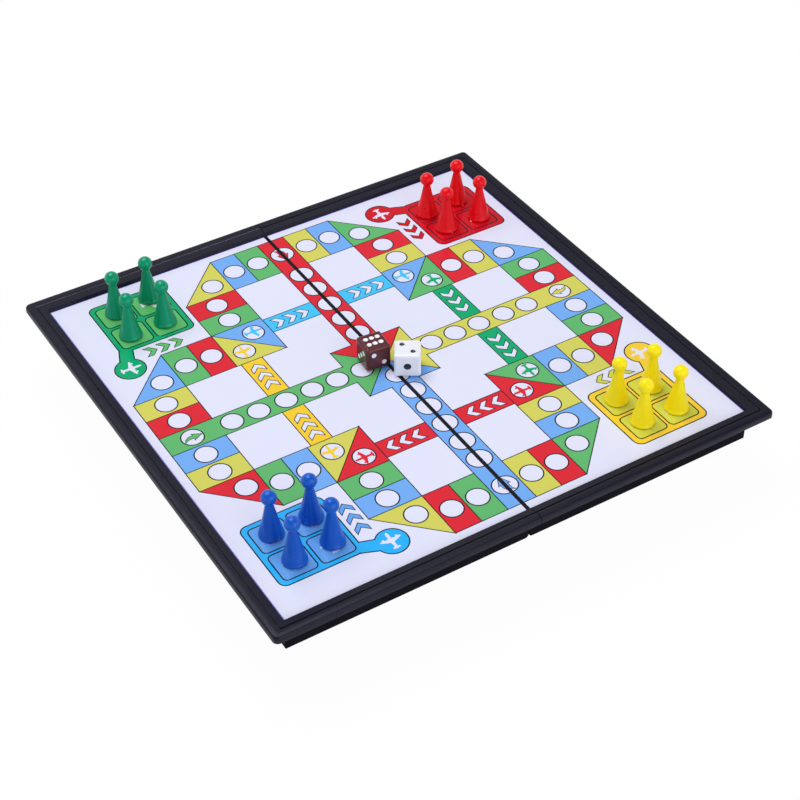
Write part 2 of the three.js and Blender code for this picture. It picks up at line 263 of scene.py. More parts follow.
# Printed playing surface. All but the first two are in cells of the track, with the
# middle of the board at (0, 0).
track = {
    "cell": 13.0 * mm,
    "seamShift": 0.7 * mm,  # each half's print stands off the fold by this
    "grid": (2.5, 4.5, 6.5, 8.5),  # lines where rows of tiles begin and end
    "half": 0.5,  # of a cell
    "line": 0.036,  # width of the dark lines
    "fineLine": 0.03,  # round the chevrons
    "disc": 0.397,
    "discLine": 0.046,
    "discFacets": 40,
    "cornerFacets": 6,  # in each corner of a rounded box
    "triangleDisc": 0.615,  # disc of a corner tile, in from its two straight sides
    "columnDiscs": (6.0, 4.98, 3.91, 2.89, 1.88, 0.88),  # from the arm's end to the star
    "star": 1.375,  # reach of the four wedges in the middle
    "bridge": (0.47, 0.06),  # patch without a line that joins a column to its wedge or tile
    "arrowMiddle": 7.5,
    "arrowLine": 0.026,
    "trim": 0.016,  # dark edge along the fold
    "border": 0.028,  # edge along the rim
    "weld": 1e-5,  # corners nearer than this become one
}
# Flight lanes between the arms
lane = {
    "middle": 3.93,
    "half": 0.415,
    "aircraftOut": 3.11,
    "aircraft": 1.2,  # scale
    "chevron": (0.255, 0.235, 0.235),  # half width, thickness, depth
    "chevronsOut": 1.55,
    "chevronStep": 0.5,
    "chevronShift": 0.53,  # steps from the first chevron back to the middle of the three
}
trackInks = ("yellow", "blue", "green", "red")  # clockwise from the rear left
columnInks = ("red", "yellow", "blue", "green")
flightInks = ("skyBlue", "deepGreen", "red", "amber")

# Generic aircraft seen from above, nose towards +Y, one side only
planeSide = [(0.0, 0.305), (0.03, 0.285), (0.042, 0.21), (0.042, 0.09), (0.155, 0.075),
             (0.165, 0.13), (0.21, 0.13), (0.22, 0.085), (0.275, 0.085), (0.29, 0.045),
             (0.20, 0.005), (0.045, -0.055), (0.035, -0.20), (0.10, -0.23), (0.10, -0.27),
             (0.025, -0.275), (0.0, -0.30)]
# Arrow that bends into the column
arrow = [(-0.17, -0.02), (0, -0.36), (0.17, -0.02), (0.09, -0.05), (0.07, 0.12),
         (-0.02, 0.27), (-0.17, 0.33), (-0.09, 0.22), (-0.07, 0.10), (-0.08, -0.05)]
blunt = 0.25  # keeps the mitre of a sharp corner short


def mirrored(side):
    return [(-x, y) for x, y in reversed(side) if x > 0] + side


def plane(scale):
    return [(x * scale, y * scale) for x, y in mirrored(planeSide)]


def clockwise(points):
    return sum(a[0] * b[1] - b[0] * a[1] for a, b in zip(points, points[1:] + points[:1])) < 0


def widened(points, by):
    # The outline moved outwards by a set distance, with mitred corners
    if clockwise(points):
        points = list(reversed(points))
    count, out = len(points), []
    for i in range(count):
        before, here, after = (Vector(points[(i + k) % count]) for k in (-1, 0, 1))
        a, b = (here - before).normalized(), (after - here).normalized()
        first, second = Vector((a.y, -a.x)), Vector((b.y, -b.x))
        out.append(tuple(here + (first + second) * (by / max(blunt, 1 + first.dot(second)))))
    return out


def disc(x, y, radius):
    turns = [math.tau * i / track["discFacets"] for i in range(track["discFacets"])]
    return [(x + radius * math.cos(t), y + radius * math.sin(t)) for t in turns]


def box(left, low, right, high):
    return [(left, low), (right, low), (right, high), (left, high)]


def roundedBox(left, low, right, high, radius):
    points = []
    for cx, cy, start in ((right - radius, high - radius, 0), (left + radius, high - radius, 1),
                          (left + radius, low + radius, 2), (right - radius, low + radius, 3)):
        for i in range(track["cornerFacets"] + 1):
            t = (start + i / track["cornerFacets"]) * math.pi / 2
            points.append((cx + radius * math.cos(t), cy + radius * math.sin(t)))
    return points


def chevron(x, y, half, thick, depth):
    # Points towards +Y, with its tip at (x, y)
    return [(x, y), (x - half, y - depth), (x - half, y - depth - thick),
            (x, y - thick), (x + half, y - depth - thick), (x + half, y - depth)]


def turned(points, quarter):
    # Quarter turns clockwise about the middle of the board
    for _ in range(quarter % 4):
        points = [(y, -x) for x, y in points]
    return points


def placed(points, x, y, quarter=0):
    # Turned about their own middle, then moved
    return [(px + x, py + y) for px, py in turned(points, quarter)]


printed = []  # (outline, ink), each over those before it


def lay(parts, ink, line=None):
    # Parts of one colour with a thin dark line round the whole of them
    line = track["line"] if line is None else line
    if line:
        printed.extend((widened(part, line / 2), "line") for part in parts)
    printed.extend((widened(part, -line / 2), ink) for part in parts)


def boxTiles(boxes):
    # With their discs in the middle
    return [(box(left, low, right, high), ((left + right) / 2, (low + high) / 2))
            for left, low, right, high in boxes]


def armTiles():
    # The thirteen tiles of the far arm, from its left end clockwise, with their discs' places
    inset, half = track["triangleDisc"], track["half"]
    inner, wide, outer, far = track["grid"]
    tiles = [([(-wide, outer), (-inner, outer), (-inner, far)], (-inner - inset, outer + inset))]
    tiles += boxTiles((x - half, outer, x + half, far) for x in (-2, -1, 0, 1, 2))
    tiles += [([(inner, far), (inner, outer), (wide, outer)], (inner + inset, outer + inset))]
    tiles += boxTiles((inner, y - half, wide, y + half) for y in (6, 5))
    tiles += [([(inner, inner), (wide, wide), (inner, wide)], (inner + inset, wide - inset)),
              ([(inner, inner), (wide, inner), (wide, wide)], (wide - inset, inner + inset))]
    tiles += boxTiles((x - half, inner, x + half, wide) for x in (5, 6))
    return tiles


def drawBoard():
    tiles = armTiles()
    inner, end = track["grid"][0], track["grid"][2]
    star, half = track["star"], track["half"]
    quarters = list(zip(range(4), columnInks, flightInks))

    def joinOver(y, quarter, ink):
        # Hides the line across a column
        side, reach = track["bridge"]
        lay([turned(box(-side, y - reach, side, y + reach), quarter)], ink, 0)

    for quarter, own, flight in quarters:
        low, high = lane["middle"] - lane["half"], lane["middle"] + lane["half"]
        lay([turned(box(-inner, low, inner, high), quarter)], flight)
        for side in (-1, 1):
            for k in range(3):
                out = side * lane["chevronsOut"] + (k - lane["chevronShift"]) * lane["chevronStep"]
                mark = placed(chevron(0, 0, *lane["chevron"]), out, lane["middle"], 1)
                lay([turned(mark, quarter)], "paper", track["fineLine"])
    for quarter, own, flight in quarters:
        column = [(-half, star), (-half, end), (half, end), (half, star)]
        wedge = [(0, 0), (star, star), (-star, star)]
        lay([turned(column, quarter), turned(wedge, quarter)], own)
        joinOver(star, quarter, own)
    for quarter, own, flight in quarters:
        for y in track["columnDiscs"]:
            lay([turned(disc(0, y, track["disc"]), quarter)], "paper", track["discLine"])
        for i, (tile, middle) in enumerate(tiles):
            ink = trackInks[(quarter * len(tiles) + i) % len(trackInks)]
            lay([turned(tile, quarter)], ink)
    for quarter, own, flight in quarters:
        for tile, middle in tiles:
            lay([turned(disc(*middle, track["disc"]), quarter)], "paper", track["discLine"])
        joinOver(end, quarter, own)
        lay([turned(placed(arrow, 0, track["arrowMiddle"]), quarter)], own, track["arrowLine"])
    # Aircraft at both ends of each lane, over the discs of all arms
    for quarter, own, flight in quarters:
        for side in (-1, 1):
            spot = (side * lane["aircraftOut"], lane["middle"])
            lay([turned(placed(plane(lane["aircraft"]), *spot, 1), quarter)], flight, 0)


# Homes, drawn as the near left one, moved a little and turned to their own corners
homeShape = {
    "frame": (-8.27, -7.66, -5.30, -4.70),
    "frameRound": 0.27,
    "neck": [(-5.50, -7.66), (-4.70, -7.98), (-4.62, -7.44), (-5.40, -7.18)],
    "start": (-4.38, -7.73, 0.555),  # disc beside the frame
    "startAircraft": (-4.385, -7.71),
    "startScale": 1.3,
    "cellsLeft": (-8.07, -6.70),
    "cellsLow": (-7.47, -6.12),
    "cell": (1.225, 1.22),
    "cellRound": 0.17,
    "cellScale": 1.25,  # of the aircraft in a cell
    "chevron": (0.245, 0.23, 0.235),
    "chevronsFrom": (-4.89, -5.44),
    "chevronStep": 0.505,
}
homes = [
    {"quarter": 0, "shift": (0, 0), "spread": 0, "edgeInk": "homeBlue", "cellInk": "denim"},
    {"quarter": 1, "shift": (0, 0), "spread": 0, "edgeInk": "deepGreen", "cellInk": "leaf"},
    {"quarter": 2, "shift": (-0.065, -0.06), "spread": 0.03, "edgeInk": "homeRed",
     "cellInk": "cherry"},
    {"quarter": 3, "shift": (-0.035, -0.085), "spread": 0.03, "edgeInk": "amber",
     "cellInk": "lemon"},
]


def drawHome(quarter, shift, spread, edgeInk, cellInk):
    def own(points):
        return turned(placed(points, *shift), quarter)

    frameBox = widened(roundedBox(*homeShape["frame"], homeShape["frameRound"]), spread)
    parts = [frameBox, homeShape["neck"], disc(*homeShape["start"])]
    lay([own(part) for part in parts], edgeInk, track["discLine"])
    width, height = homeShape["cell"]
    for left in homeShape["cellsLeft"]:
        for low in homeShape["cellsLow"]:
            cell = roundedBox(left, low, left + width, low + height, homeShape["cellRound"])
            lay([own(cell)], cellInk, track["discLine"])
            aircraft = placed(plane(homeShape["cellScale"]), left + width / 2, low + height / 2)
            lay([own(aircraft)], "paper", 0)
    lay([own(placed(plane(homeShape["startScale"]), *homeShape["startAircraft"]))], "paper", 0)
    x, y = homeShape["chevronsFrom"]
    for k in range(3):
        mark = chevron(x, y - homeShape["chevronStep"] * k, *homeShape["chevron"])
        lay([own(mark)], cellInk, track["fineLine"])


print("Drawing the board's print")
drawBoard()
for settings in homes:
    drawHome(**settings)

onEdge = 0.001 * mm  # points this near to a side of the sheet lie on it


def printSheet(side):
    # One half of the print as a closed thin plate, its top cut into areas of one ink each
    sideName = "right" if side > 0 else "left"
    low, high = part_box(f"sheet_{sideName}")
    cell, shift = track["cell"], side * track["seamShift"]
    left, right = (low.x - shift) / cell, (high.x - shift) / cell
    near, far = low.y / cell, high.y / cell
    outlines = [(box(left, near, right, far), "paper")]
    outlines += [shape for shape in printed if (max(p[0] for p in shape[0]) > left
                                                and min(p[0] for p in shape[0]) < right)]
    # Thin borders along the rim, and a dark one along the fold
    border, trim = track["border"], track["trim"]
    outlines += [(box(left, near, right, near + border), "border"),
                 (box(left, far - border, right, far), "border")]
    if side > 0:
        outlines += [(box(right - border, near, right, far), "border"),
                     (box(left, near, left + trim, far), "line")]
    else:
        outlines += [(box(left, near, left + border, far), "border"),
                     (box(right - trim, near, right, far), "line")]
    points, faces = [], []
    for outline, ink in outlines:
        if clockwise(outline):
            outline = list(reversed(outline))
        faces.append(list(range(len(points), len(points) + len(outline))))
        points.extend(Vector(p) for p in outline)
    spots, _, cuts, _, _, owners = delaunay_2d_cdt(points, [], faces, 1, track["weld"])
    mesh = bpy.data.meshes.new(f"print_{sideName}")
    names = list(inkColours)
    for name in names:
        mesh.materials.append(inks[name])
    mesh.materials.append(tinplate)
    bare = len(names)  # slot of the tinplate
    build = bmesh.new()
    made = {}

    def corner(index):
        if index not in made:
            x, y = spots[index]
            made[index] = build.verts.new((min(max(x, left), right) * cell + shift,
                                           min(max(y, near), far) * cell, high.z))
        return made[index]

    for cut, owner in zip(cuts, owners):
        if 0 not in owner:
            continue
        face = build.faces.new([corner(i) for i in cut])
        face.material_index = names.index(outlines[max(owner)][1])
    build.normal_update()
    # Four cut sides, each a fan from a lower corner, and the underside
    rim = [edge for edge in build.edges if edge.is_boundary]
    feet = [build.verts.new((x, y, low.z)) for x, y in
            ((low.x, low.y), (high.x, low.y), (high.x, high.y), (low.x, high.y))]
    for k, (axis, place) in enumerate(((1, low.y), (0, high.x), (1, high.y), (0, low.x))):
        a, b = feet[k], feet[(k + 1) % 4]
        run = b.co - a.co
        edges = [e for e in rim if all(abs(v.co[axis] - place) < onEdge for v in e.verts)]
        last = None
        for edge in edges:
            first, second = sorted(edge.verts, key=lambda v: (v.co - a.co).dot(run))
            build.faces.new((a, second, first)).material_index = bare
            if last is None or (second.co - a.co).dot(run) > (last.co - a.co).dot(run):
                last = second
        build.faces.new((a, b, last)).material_index = bare
    build.faces.new(list(reversed(feet))).material_index = bare
    bmesh.ops.recalc_face_normals(build, faces=build.faces)
    build.to_mesh(mesh)
    build.free()
    print(f"  {sideName} half:", len(outlines), "shapes,", len(mesh.polygons), "areas")
    sheet = bpy.data.objects.new(f"print_{sideName}", mesh)
    scene.collection.objects.link(sheet)
    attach(sheet, f"case_{sideName}")
    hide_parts(f"sheet_{sideName}")


for side in (1, -1):
    printSheet(side)


# Geometry Nodes helpers
def newTree(name, inputs):
    # With a named input for each setting
    tree = bpy.data.node_groups.new(name, "GeometryNodeTree")
    tree.is_modifier = True
    tree.interface.new_socket("Geometry", in_out="INPUT", socket_type="NodeSocketGeometry")
    for label, kind in inputs.items():
        tree.interface.new_socket(label, in_out="INPUT", socket_type=f"NodeSocket{kind}")
    tree.interface.new_socket("Geometry", in_out="OUTPUT", socket_type="NodeSocketGeometry")
    return tree, tree.nodes.new("NodeGroupInput"), tree.nodes.new("NodeGroupOutput")


def joiner(tree):
    def join(source, node, socket):
        tree.links.new(source, node.inputs[socket])
    return join


def sums(tree, kind, *operations):
    # Reckoning nodes of one kind, one for each operation
    made = [tree.nodes.new(kind) for _ in operations]
    for node, operation in zip(made, operations):
        node.operation = operation
    return made


def softShading(tree, geometry, sharpAngle):
    # Smooth all over, but for the edges with a sharper angle
    join = joiner(tree)
    smooth, creases = (tree.nodes.new("GeometryNodeSetShadeSmooth") for _ in range(2))
    creases.domain = "EDGE"
    angle = tree.nodes.new("GeometryNodeInputMeshEdgeAngle")
    gentle, = sums(tree, "FunctionNodeCompare", "LESS_THAN")
    join(geometry, smooth, "Geometry")
    join(smooth.outputs[0], creases, "Geometry")
    join(angle.outputs["Unsigned Angle"], gentle, 0)
    join(sharpAngle, gentle, 1)
    join(gentle.outputs[0], creases, "Shade Smooth")
    return creases.outputs[0]


def finished(host, tree, values):
    # The host's mesh as the tree makes it
    modifier = host.modifiers.new(tree.name, "NODES")
    modifier.node_group = tree
    for item in tree.interface.items_tree:
        if item.in_out == "INPUT" and item.name in values:
            modifier[item.identifier] = values[item.name]
    made = host.evaluated_get(bpy.context.evaluated_depsgraph_get())
    mesh = bpy.data.meshes.new_from_object(made)
    old = host.data
    host.modifiers.clear()
    host.data = mesh
    mesh.name = host.name
    bpy.data.meshes.remove(old)
    print(f"  {host.name}:", len(mesh.polygons), "faces")


def hostObject(name, points, edges):
    # Bare points that a tree turns into a piece
    mesh = bpy.data.meshes.new(name)
    mesh.from_pydata(points, edges, [])
    host = bpy.data.objects.new(name, mesh)
    scene.collection.objects.link(host)
    return host


def latheTree():
    # Turns the host's chain of points, radius along X and height along Z, about the Z axis
    tree, start, end = newTree("turnOnLathe", {
        "Segments": "Int", "Place": "Vector", "Weld": "Float", "Sharp Angle": "Float",
        "Finish": "Material"})
    join = joiner(tree)
    size = tree.nodes.new("GeometryNodeAttributeDomainSize")
    grid = tree.nodes.new("GeometryNodeMeshGrid")
    across, row, column = sums(tree, "FunctionNodeIntegerMath", "ADD", "DIVIDE_FLOOR", "MODULO")
    across.inputs[1].default_value = 1
    index = tree.nodes.new("GeometryNodeInputIndex")
    share, turn = sums(tree, "ShaderNodeMath", "DIVIDE", "MULTIPLY")
    turn.inputs[1].default_value = math.tau
    position = tree.nodes.new("GeometryNodeInputPosition")
    profile = tree.nodes.new("GeometryNodeSampleIndex")
    profile.data_type = "FLOAT_VECTOR"
    spin = tree.nodes.new("ShaderNodeVectorRotate")
    spin.rotation_type = "Z_AXIS"
    move, = sums(tree, "ShaderNodeVectorMath", "ADD")
    setPlace = tree.nodes.new("GeometryNodeSetPosition")
    merge = tree.nodes.new("GeometryNodeMergeByDistance")
    realize = tree.nodes.new("GeometryNodeRealizeInstances")
    paint = tree.nodes.new("GeometryNodeSetMaterial")
    # A grid with a row for each point of the chain
    join(start.outputs["Geometry"], size, "Geometry")
    join(start.outputs["Segments"], across, 0)
    join(size.outputs["Point Count"], grid, "Vertices X")
    join(across.outputs[0], grid, "Vertices Y")
    for node in (row, column):
        join(index.outputs[0], node, 0)
        join(across.outputs[0], node, 1)
    # Each row takes its point of the chain, turned by the column's share of a full turn
    join(column.outputs[0], share, 0)
    join(start.outputs["Segments"], share, 1)
    join(share.outputs[0], turn, 0)
    join(start.outputs["Geometry"], profile, "Geometry")
    join(position.outputs[0], profile, "Value")
    join(row.outputs[0], profile, "Index")
    join(profile.outputs[0], spin, "Vector")
    join(turn.outputs[0], spin, "Angle")
    join(spin.outputs[0], move, 0)
    join(start.outputs["Place"], move, 1)
    join(grid.outputs["Mesh"], setPlace, "Geometry")
    join(move.outputs[0], setPlace, "Position")
    join(setPlace.outputs[0], merge, "Geometry")
    join(start.outputs["Weld"], merge, "Distance")
    soft = softShading(tree, merge.outputs[0], start.outputs["Sharp Angle"])
    join(soft, realize, "Geometry")
    join(realize.outputs[0], paint, "Geometry")
    join(start.outputs["Finish"], paint, "Material")
    join(paint.outputs[0], end, "Geometry")
    return tree


lathe = latheTree()

# Pawns, turned in one piece with a pocket for the magnet underneath. Millimetres.
pawnShape = {
    "height": 24.0, "headRadius": 3.4,
    "footRadius": 5.5, "footHeight": 1.1, "footRound": 0.45,
    "footTurn": 0.9,  # radians from the foot's side to the start of the cone
    "footDrop": 0.2,
    "neckRadius": 1.7,
    "neckFlare": 0.25,  # wider where it meets the head
    "neckPull": (0.02, 0.1),  # in and down, bends the neck into the head
    "waist": 0.35,  # hollow of the cone's sides
    "fillet": 0.55,
    "pocketRadius": 3.35, "pocketDepth": 1.8, "pocketRound": 0.2,
    "gateRadius": 0.34, "gateDepth": 0.1, "gateRim": 0.02,
    "coneSteps": 22, "headSteps": 26, "neckSteps": 5, "footSteps": (5, 3), "segments": 64,
    "weld": 0.002, "sharpAngle": 50,
}
pawnInks = {
    "green": (0, 144, 102),
    "red": (236, 4, 20),
    "blue": (14, 84, 196),
    "yellow": (255, 234, 12),
}


def curveThrough(a, b, c, steps):
    # Quadratic curve from a to c that leans towards b
    out = []
    for i in range(steps + 1):
        t = i / steps
        out.append(tuple((1 - t) ** 2 * a[k] + 2 * t * (1 - t) * b[k] + t * t * c[k]
                         for k in (0, 1)))
    return out


def arc(cx, cy, radius, start, stop, steps):
    return [(cx + radius * math.cos(start + (stop - start) * i / steps),
             cy + radius * math.sin(start + (stop - start) * i / steps)) for i in range(steps + 1)]


def pawnProfile(s):
    # From the middle of the pocket out over the foot, up the cone and over the head
    headZ = s["height"] - s["headRadius"]
    neckAngle = math.asin((s["neckRadius"] + s["neckFlare"]) / s["headRadius"])
    neckZ = headZ - s["headRadius"] * math.cos(neckAngle)
    joint = (s["headRadius"] * math.sin(neckAngle), neckZ)
    foot, cut = s["footRound"], s["pocketRound"]
    points = [(0, s["pocketDepth"]), (s["pocketRadius"] - cut, s["pocketDepth"])]
    points += [(s["pocketRadius"], s["pocketDepth"] - cut), (s["pocketRadius"], cut),
               (s["pocketRadius"] + cut, 0)]
    lower, upper = s["footSteps"]
    points += arc(s["footRadius"] - foot, foot, foot, -math.pi / 2, 0, lower)
    points += arc(s["footRadius"] - foot, s["footHeight"] - s["footDrop"], foot, 0,
                  s["footTurn"], upper)
    base = points[-1]
    top = (s["neckRadius"], neckZ - s["fillet"])
    middle = ((base[0] + top[0]) / 2 - s["waist"], (base[1] + top[1]) / 2)
    points += curveThrough(base, middle, top, s["coneSteps"])[1:]
    pulled = (s["neckRadius"] - s["neckPull"][0], neckZ - s["neckPull"][1])
    points += curveThrough(top, pulled, joint, s["neckSteps"])[1:]
    points += arc(0, headZ, s["headRadius"], neckAngle - math.pi / 2, math.pi / 2,
                  s["headSteps"])[1:-1]
    # Dimple of the gate on the crown
    points += [(s["gateRadius"], s["height"] - s["gateRim"]), (0, s["height"] - s["gateDepth"])]
    return points


print("Turning the pawns")
profile = [(x * mm, 0, z * mm) for x, z in pawnProfile(pawnShape)]
chain = [(i, i + 1) for i in range(len(profile) - 1)]
for colour, ink in pawnInks.items():
    gloss = pieceGloss(f"pawnGloss_{colour}", ink)
    for i in range(1, 5):
        low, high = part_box(f"pawn_{colour}_{i}")
        host = hostObject(f"turned_pawn_{colour}_{i}", profile, chain)
        finished(host, lathe, {
            "Segments": pawnShape["segments"], "Weld": pawnShape["weld"] * mm,
            "Sharp Angle": math.radians(pawnShape["sharpAngle"]), "Finish": gloss,
            "Place": ((low.x + high.x) / 2, (low.y + high.y) / 2, low.z)})
        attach(host, f"pawn_{colour}_{i}")
        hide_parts(f"pawn_{colour}_{i}")


# Dice, in millimetres and degrees. Their numbers count the pips above, below, in front,
# behind, left and right.
dice = {
    "edge": 12.2, "round": 1.4, "facets": 41, "sharpAngle": 24,
    "pipRadius": 1.2, "acePipRadius": 1.8, "pipDepth": 0.35, "pipSpread": 2.5,
    "ballSegments": 32, "ballRings": 20,
    "brown": {"numbers": (6, 1, 2, 5, 3, 4), "turn": -6,
              "body": (80, 32, 36), "pips": (244, 246, 252)},
    "white": {"numbers": (2, 5, 1, 6, 3, 4), "turn": -32.3,
              "body": (240, 242, 252), "pips": (16, 16, 24)},
}
pipGrids = {
    1: [(0, 0)], 2: [(-1, 1), (1, -1)], 3: [(-1, -1), (0, 0), (1, 1)],
    4: [(-1, -1), (-1, 1), (1, -1), (1, 1)], 5: [(-1, -1), (-1, 1), (0, 0), (1, -1), (1, 1)],
    6: [(-1.16, -0.8), (0, -0.8), (1.16, -0.8), (-1.16, 0.8), (0, 0.8), (1.16, 0.8)],
}
# Each face's way out and the way along its rows, in the order of the numbers
dieFaces = [((0, 0, 1), (1, 0, 0)), ((0, 0, -1), (1, 0, 0)), ((0, -1, 0), (1, 0, 0)),
            ((0, 1, 0), (-1, 0, 0)), ((-1, 0, 0), (0, -1, 0)), ((1, 0, 0), (0, 1, 0))]


def dieTree():
    # A cube with rounded edges, dented by a ball at each of the host's points
    tree, start, end = newTree("castDie", {
        "Edge": "Float", "Round": "Float", "Facets": "Int", "Ball Segments": "Int",
        "Ball Rings": "Int", "Sharp Angle": "Float", "Turn": "Float", "Place": "Vector",
        "Finish": "Material", "Pip Finish": "Material"})
    join = joiner(tree)
    size, core, spin = (tree.nodes.new("ShaderNodeCombineXYZ") for _ in range(3))
    cube = tree.nodes.new("GeometryNodeMeshCube")
    position = tree.nodes.new("GeometryNodeInputPosition")
    half, less = sums(tree, "ShaderNodeMath", "MULTIPLY_ADD", "MULTIPLY")
    half.inputs[1].default_value = 0.5
    less.inputs[1].default_value = -1
    flipped, lowest, highest, outward, unit, swell, rounded = sums(
        tree, "ShaderNodeVectorMath",
        "SCALE", "MINIMUM", "MAXIMUM", "SUBTRACT", "NORMALIZE", "SCALE", "ADD")
    flipped.inputs["Scale"].default_value = -1
    shape = tree.nodes.new("GeometryNodeSetPosition")
    ball = tree.nodes.new("GeometryNodeMeshUVSphere")
    reach = tree.nodes.new("GeometryNodeInputNamedAttribute")
    reach.inputs["Name"].default_value = "ball"
    balls = tree.nodes.new("GeometryNodeInstanceOnPoints")
    solid, realize = (tree.nodes.new("GeometryNodeRealizeInstances") for _ in range(2))
    pipPaint, paint = (tree.nodes.new("GeometryNodeSetMaterial") for _ in range(2))
    dent = tree.nodes.new("GeometryNodeMeshBoolean")
    dent.operation, dent.solver = "DIFFERENCE", "EXACT"
    move = tree.nodes.new("GeometryNodeTransform")
    pips = tree.nodes.new("GeometryNodeMaterialSelection")
    rest, = sums(tree, "FunctionNodeBooleanMath", "NOT")
    # Cube, and half the edge of the core inside its rounding
    for axis in range(3):
        join(start.outputs["Edge"], size, axis)
        join(start.outputs["Facets"], cube, f"Vertices {'XYZ'[axis]}")
        join(half.outputs[0], core, axis)
    join(size.outputs[0], cube, "Size")
    join(start.outputs["Round"], less, 0)
    join(start.outputs["Edge"], half, 0)
    join(less.outputs[0], half, 2)
    # Each point is drawn in to the core, then pushed out again by the radius
    join(core.outputs[0], flipped, 0)
    join(position.outputs[0], lowest, 0)
    join(core.outputs[0], lowest, 1)
    join(lowest.outputs[0], highest, 0)
    join(flipped.outputs[0], highest, 1)
    join(position.outputs[0], outward, 0)
    join(highest.outputs[0], outward, 1)
    join(outward.outputs[0], unit, 0)
    join(unit.outputs[0], swell, 0)
    join(start.outputs["Round"], swell, "Scale")
    join(highest.outputs[0], rounded, 0)
    join(swell.outputs[0], rounded, 1)
    join(cube.outputs["Mesh"], shape, "Geometry")
    join(rounded.outputs[0], shape, "Position")
    # Balls of the pips' paint, cut out of the cube
    join(start.outputs["Ball Segments"], ball, "Segments")
    join(start.outputs["Ball Rings"], ball, "Rings")
    join(start.outputs["Geometry"], balls, "Points")
    join(ball.outputs["Mesh"], balls, "Instance")
    join(reach.outputs["Attribute"], balls, "Scale")
    join(balls.outputs[0], solid, "Geometry")
    join(solid.outputs[0], pipPaint, "Geometry")
    join(start.outputs["Pip Finish"], pipPaint, "Material")
    join(shape.outputs[0], dent, "Mesh 1")
    join(pipPaint.outputs[0], dent, "Mesh 2")
    soft = softShading(tree, dent.outputs["Mesh"], start.outputs["Sharp Angle"])
    # Turned, set down, and painted where it isn't a pip
    join(start.outputs["Turn"], spin, 2)
    join(soft, move, "Geometry")
    join(start.outputs["Place"], move, "Translation")
    join(spin.outputs[0], move, "Rotation")
    join(move.outputs[0], realize, "Geometry")
    join(start.outputs["Pip Finish"], pips, "Material")
    join(pips.outputs[0], rest, 0)
    join(realize.outputs[0], paint, "Geometry")
    join(rest.outputs[0], paint, "Selection")
    join(start.outputs["Finish"], paint, "Material")
    join(paint.outputs[0], end, "Geometry")
    return tree


def pipBalls(numbers):
    # Middles and radii of the balls that dent the faces
    middles, radii = [], []
    for number, (out, along) in zip(numbers, dieFaces):
        out, along = Vector(out), Vector(along)
        across = out.cross(along)
        pip = dice["acePipRadius"] if number == 1 else dice["pipRadius"]
        ball = (pip ** 2 + dice["pipDepth"] ** 2) / (2 * dice["pipDepth"])
        for u, v in pipGrids[number]:
            middle = (out * (dice["edge"] / 2 + ball - dice["pipDepth"])
                      + along * u * dice["pipSpread"] + across * v * dice["pipSpread"])
            middles.append(middle * mm)
            radii.append(ball * mm)
    return middles, radii


print("Casting the dice")
caster = dieTree()
for name in ("brown", "white"):
    own = dice[name]
    low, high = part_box(f"die_{name}")
    middles, radii = pipBalls(own["numbers"])
    host = hostObject(f"cast_die_{name}", middles, [])
    host.data.attributes.new("ball", "FLOAT", "POINT").data.foreach_set("value", radii)
    finished(host, caster, {
        "Edge": dice["edge"] * mm, "Round": dice["round"] * mm, "Facets": dice["facets"],
        "Ball Segments": dice["ballSegments"], "Ball Rings": dice["ballRings"],
        "Sharp Angle": math.radians(dice["sharpAngle"]),
        "Turn": math.radians(own["turn"]), "Place": (low + high) / 2,
        "Finish": pieceGloss(f"dieGloss_{name}", own["body"]),
        "Pip Finish": pieceGloss(f"pipPaint_{name}", own["pips"])})
    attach(host, f"die_{name}")
    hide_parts(f"die_{name}")


def mouldTree():
    # Soft shading over gentle turns of the surface, creases left at the rest
    tree, start, end = newTree("smoothMoulding", {
        "Weld": "Float", "Sharp Angle": "Float", "Tray Top": "Float", "Finish": "Material",
        "Tray Finish": "Material", "Groove Wall": "Vector", "Wall Margin": "Float",
        "Groove Finish": "Material"})
    join = joiner(tree)
    merge = tree.nodes.new("GeometryNodeMergeByDistance")
    realize = tree.nodes.new("GeometryNodeRealizeInstances")
    paint, wallPaint, trayPaint = (tree.nodes.new("GeometryNodeSetMaterial") for _ in range(3))
    position = tree.nodes.new("GeometryNodeInputPosition")
    height, sides = (tree.nodes.new("ShaderNodeSeparateXYZ") for _ in range(2))
    outward, beyond = sums(tree, "ShaderNodeVectorMath", "ABSOLUTE", "SUBTRACT")
    furthest, = sums(tree, "ShaderNodeMath", "MAXIMUM")
    below, onWall = sums(tree, "FunctionNodeCompare", "LESS_THAN", "EQUAL")
    # How far a face lies beyond the line of the groove's outer wall, in X or in Y
    join(position.outputs[0], outward, 0)
    join(outward.outputs[0], beyond, 0)
    join(start.outputs["Groove Wall"], beyond, 1)
    join(beyond.outputs[0], sides, 0)
    join(sides.outputs["X"], furthest, 0)
    join(sides.outputs["Y"], furthest, 1)
    join(furthest.outputs[0], onWall, 0)
    join(start.outputs["Wall Margin"], onWall, "Epsilon")
    join(position.outputs[0], height, 0)
    join(height.outputs["Z"], below, 0)
    join(start.outputs["Tray Top"], below, 1)
    join(start.outputs["Geometry"], merge, "Geometry")
    join(start.outputs["Weld"], merge, "Distance")
    soft = softShading(tree, merge.outputs[0], start.outputs["Sharp Angle"])
    join(soft, realize, "Geometry")
    join(realize.outputs[0], paint, "Geometry")
    join(start.outputs["Finish"], paint, "Material")
    # Faces on the groove's outer wall take the groove's paint, on the left half a painted
    # highlight
    join(paint.outputs[0], wallPaint, "Geometry")
    join(onWall.outputs[0], wallPaint, "Selection")
    join(start.outputs["Groove Finish"], wallPaint, "Material")
    join(wallPaint.outputs[0], trayPaint, "Geometry")
    join(below.outputs[0], trayPaint, "Selection")
    join(start.outputs["Tray Finish"], trayPaint, "Material")
    join(trayPaint.outputs[0], end, "Geometry")
    return tree


